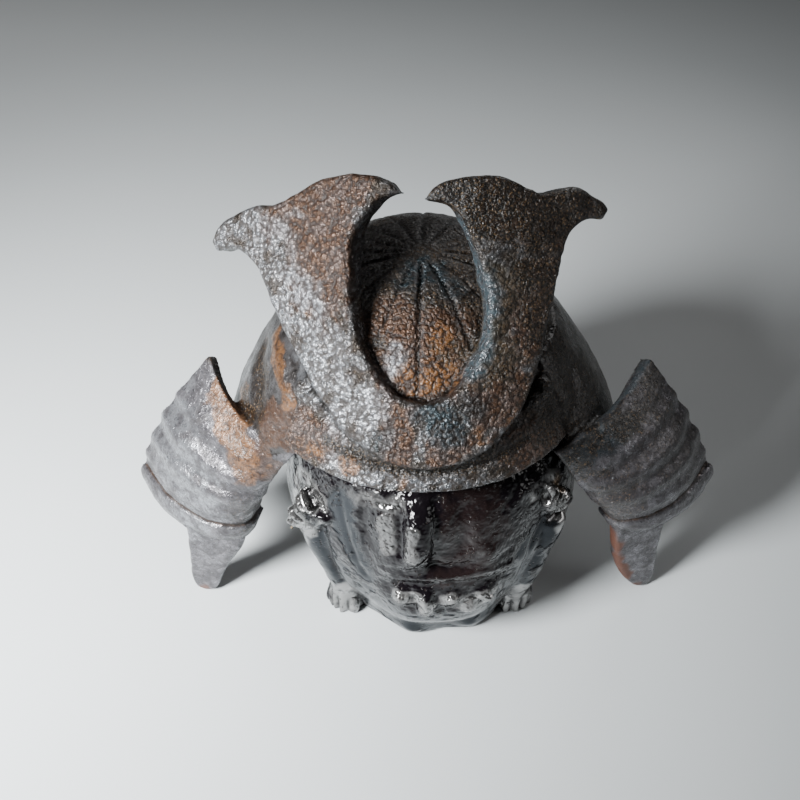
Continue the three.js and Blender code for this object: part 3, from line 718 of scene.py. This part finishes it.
base = Clay(pot["nodes"], potForm)
kinds = ["black", "mirror", "knobs", "pleats", "ochre", "purple", "slate"]
marks = painted(base.points, kinds, potPatches, lumpy(base.points, pot["fray"]))
lift = modelled(base.points, potStrokes) + lumpy(base.points, pot["lumps"])
lift += marks["knobs"] * lumpy(base.points, pot["knobs"]) + pleated(base)
base.raiseBy(lift * (base.points[:, 2] > pot["sole"]))
marks.update(base.wear())
print("pot shaped")


def blackGlaze(name, look):
    # a deep gloss: black where thin, and black as painted shade under the visor and in grooves, mirror-like
    # where it pools, broken by pits
    shop = Glaze(name)
    broad = shop.noise(look["broad"], 1.0)
    swirl = shop.noise(look["swirl"], 2.0)
    crumple = shop.noise(look["crumple"], 1.0)
    pits = (1 - shop.dots(look["pitSize"]).over(0.10, 0.34)) * swirl.over(0.46, 0.6)
    bright = shop.mark("mirror") + shop.mark("knobs") + shop.mark("pleats")
    bloom = (bright * 0.9 + broad * 1.2 - swirl * 0.9).over(0.35, 1.15) * (1 - shop.mark("black"))
    slate = (shop.mark("slate") * (0.5 + broad)).over(0.1, 0.9) * (1 - shop.mark("black"))
    purple = (shop.mark("purple") * swirl * 1.7).over(0.2, 0.9)
    colour = shop.mix(purple, look["black"], look["purple"])
    colour = shop.mix(slate, colour, look["slate"])
    foil = shop.mix(shop.mark("knobs") + shop.mark("pleats"), look["mirror"], look["foil"])
    colour = shop.mix(bloom, colour, foil)
    # hollows painted black: painted shade
    colour = shop.mix(shop.mark("hollow") * 0.9, colour, look["black"])
    colour = shop.mix(pits * 0.8, colour, look["pit"])
    colour = shop.mix(shop.mark("ochre") * 0.8, colour, look["gold"])
    surface = {
        "Base Color": colour,
        "Roughness": 0.06 + 0.14 * swirl + 0.10 * slate,
        "Metallic": (bloom + 0.75 * slate).over(0.0, 1.0) * 0.92,
    }
    rough = crumple * (0.15 + bright - 0.85 * shop.mark("pleats")) + swirl * 1.5
    calm = 1 - 0.9 * slate - 0.6 * shop.mark("pleats") * (1 - slate)
    height = broad * (1 - 0.6 * slate) + rough * calm - pits * 0.3
    return shop.close(surface, height, look["depth"], {"IOR": 1.36})


gloss = {
    "broad": 17,
    "swirl": 7,
    "crumple": 3.2,
    "pitSize": 2.2,
    "depth": 1.4,
    "black": (0.004, 0.003, 0.004),
    "purple": (0.011, 0.007, 0.007),
    "slate": (0.026, 0.029, 0.033),
    "mirror": (0.19, 0.187, 0.185),
    "foil": (0.30, 0.295, 0.29),
    "pit": (0.02, 0.014, 0.012),
    "gold": (0.55, 0.38, 0.22),
}
finish = {name: blackGlaze("glaze_" + name, gloss) for name in pot["nodes"]}
base.part(marks, finish)
print("pot glazed")

# floor, light and camera
stage = {
    "floor": (0.62, 0.65, 0.66),
    "floorDark": (0.583, 0.611, 0.620),
    "halfWidth": 4.0,
    "eye": (0.0, -0.4083, 0.4616),
    "target": (-0.014, 0.0, 0.119),
    "lens": 45,
    "sky": (0.95, 0.88, 0.84),
    "skyStrength": 0.024,
}
window = {
    "at": (-0.535, -0.482, 0.55),
    "to": (-0.25, 0.0, 0.0),
    "size": 0.28,
    "watts": 8.4,
    "spread": 80,
    "colour": (0.97, 0.99, 1.0),
}
soft = {"size": 0.5, "spread": 180, "colour": (1, 1, 1)}
lamps = {
    "window": window,
    "wall": {**soft, "at": (-0.9, 0.8, 0.6), "to": (-0.45, 0.8, 0), "watts": 1.9},
    "right": {**soft, "at": (0.85, -0.1, 0.4), "to": (0.1, 0, 0.09), "watts": 0.2, "spread": 60},
    "behind": {**soft, "at": (0.4, 0.95, 0.45), "to": (0, 0.06, 0.11), "watts": 0.14, "spread": 50},
    "ceiling": {**soft, "at": (-0.1, -0.3, 1.5), "to": (0, 0, 0.1), "watts": 0.4},
}

wide = stage["halfWidth"]
sheet = bpy.data.meshes.new("floor")
around = [(-wide, -wide, 0), (wide, -wide, 0), (wide, wide, 0), (-wide, wide, 0)]
sheet.from_pydata(around, [], [(0, 1, 2, 3)])
floor = bpy.data.objects.new("floor", sheet)
bpy.context.scene.collection.objects.link(floor)
ground = Glaze("floor_paint")
tone = ground.mix(ground.noise(300, 2.0), stage["floor"], stage["floorDark"])
flat = {"Base Color": tone, "Roughness": ground.noise(90) * 0.1 + 0.5}
sheet.materials.append(ground.close(flat, ground.noise(4), 0.02, {}))


def aimed(thing, place, target):
    thing.location = place
    thing.rotation_euler = (Vector(target) - Vector(place)).to_track_quat("-Z", "Y").to_euler()
    bpy.context.scene.collection.objects.link(thing)


for name, lamp in lamps.items():
    light = bpy.data.lights.new(name, "AREA")
    light.shape = "DISK"
    light.size = lamp["size"]
    light.spread = math.radians(lamp["spread"])
    light.energy = lamp["watts"]
    light.color = lamp["colour"]
    aimed(bpy.data.objects.new(name, light), lamp["at"], lamp["to"])

lens = bpy.data.cameras.new("camera")
lens.lens = stage["lens"]
lens.clip_start = 0.01
camera = bpy.data.objects.new("camera", lens)
aimed(camera, stage["eye"], stage["target"])
bpy.context.scene.camera = camera

sky = bpy.data.worlds.new("sky")
sky.use_nodes = True
sky.node_tree.nodes["Background"].inputs["Color"].default_value = (*stage["sky"], 1.0)
sky.node_tree.nodes["Background"].inputs["Strength"].default_value = stage["skyStrength"]
bpy.context.scene.world = sky
print("stage set")
